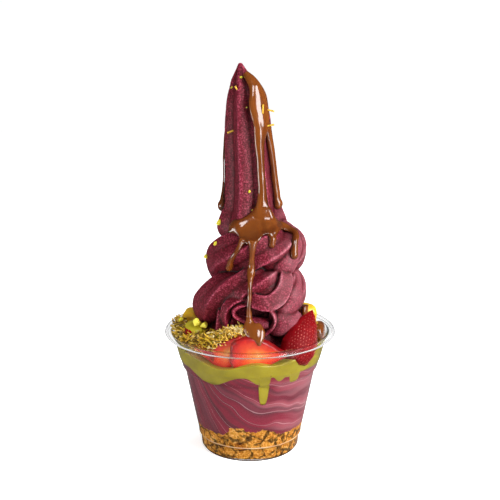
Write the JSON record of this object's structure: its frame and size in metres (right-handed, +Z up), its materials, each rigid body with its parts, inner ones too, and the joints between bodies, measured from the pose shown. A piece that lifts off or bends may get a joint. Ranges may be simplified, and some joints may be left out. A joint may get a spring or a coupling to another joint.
{
  "type": "acai cup",
  "caption": "clear dessert cup of acai soft serve swirled into a tall spire, with cookie crumble, pistachio cream, strawberry, mango, kataifi and chocolate sauce",
  "frame": {"origin": "centre of the cup's foot, where it stands on a surface", "axes": "+Z up through the swirl to its tip, -Y to the front with the long drip of sauce, +X to the right of the front"},
  "size_m": [0.0918, 0.0918, 0.208],
  "materials": {
    "cup_clear": "clear thermoformed plastic, glossy",
    "cookie": "dry crumbly golden biscuit",
    "acai": "matte, finely granular frozen acai",
    "pistachio_cream": "smooth glossy green-gold cream",
    "strawberry_cut": "moist cut strawberry, pale towards the middle",
    "strawberry_skin": "moist red strawberry skin with seeds",
    "mango": "moist yellow mango",
    "kataifi": "dry golden shredded pastry with green nut crumbs",
    "chocolate": "very glossy chocolate sauce"
  },
  "bodies": {
    "root": {"cup": "cup_clear", "cookie_crumble": "cookie", "acai_soft_serve": "acai", "pistachio_cream": "pistachio_cream", "strawberry_slice_centre": "strawberry_cut", "strawberry_slice_left": "strawberry_cut", "strawberry_slice_far_left": "strawberry_cut", "strawberry_half_right": "strawberry_skin", "mango_right": "mango", "mango_left": "mango", "strawberry_wedge_left": "strawberry_skin", "cream_dollop": "pistachio_cream", "chocolate_pool": "chocolate", "strawberry_slice_back": "strawberry_cut", "mango_back": "mango", "kataifi": "kataifi", "chocolate_sauce": "chocolate"}
  },
  "joints": []
}
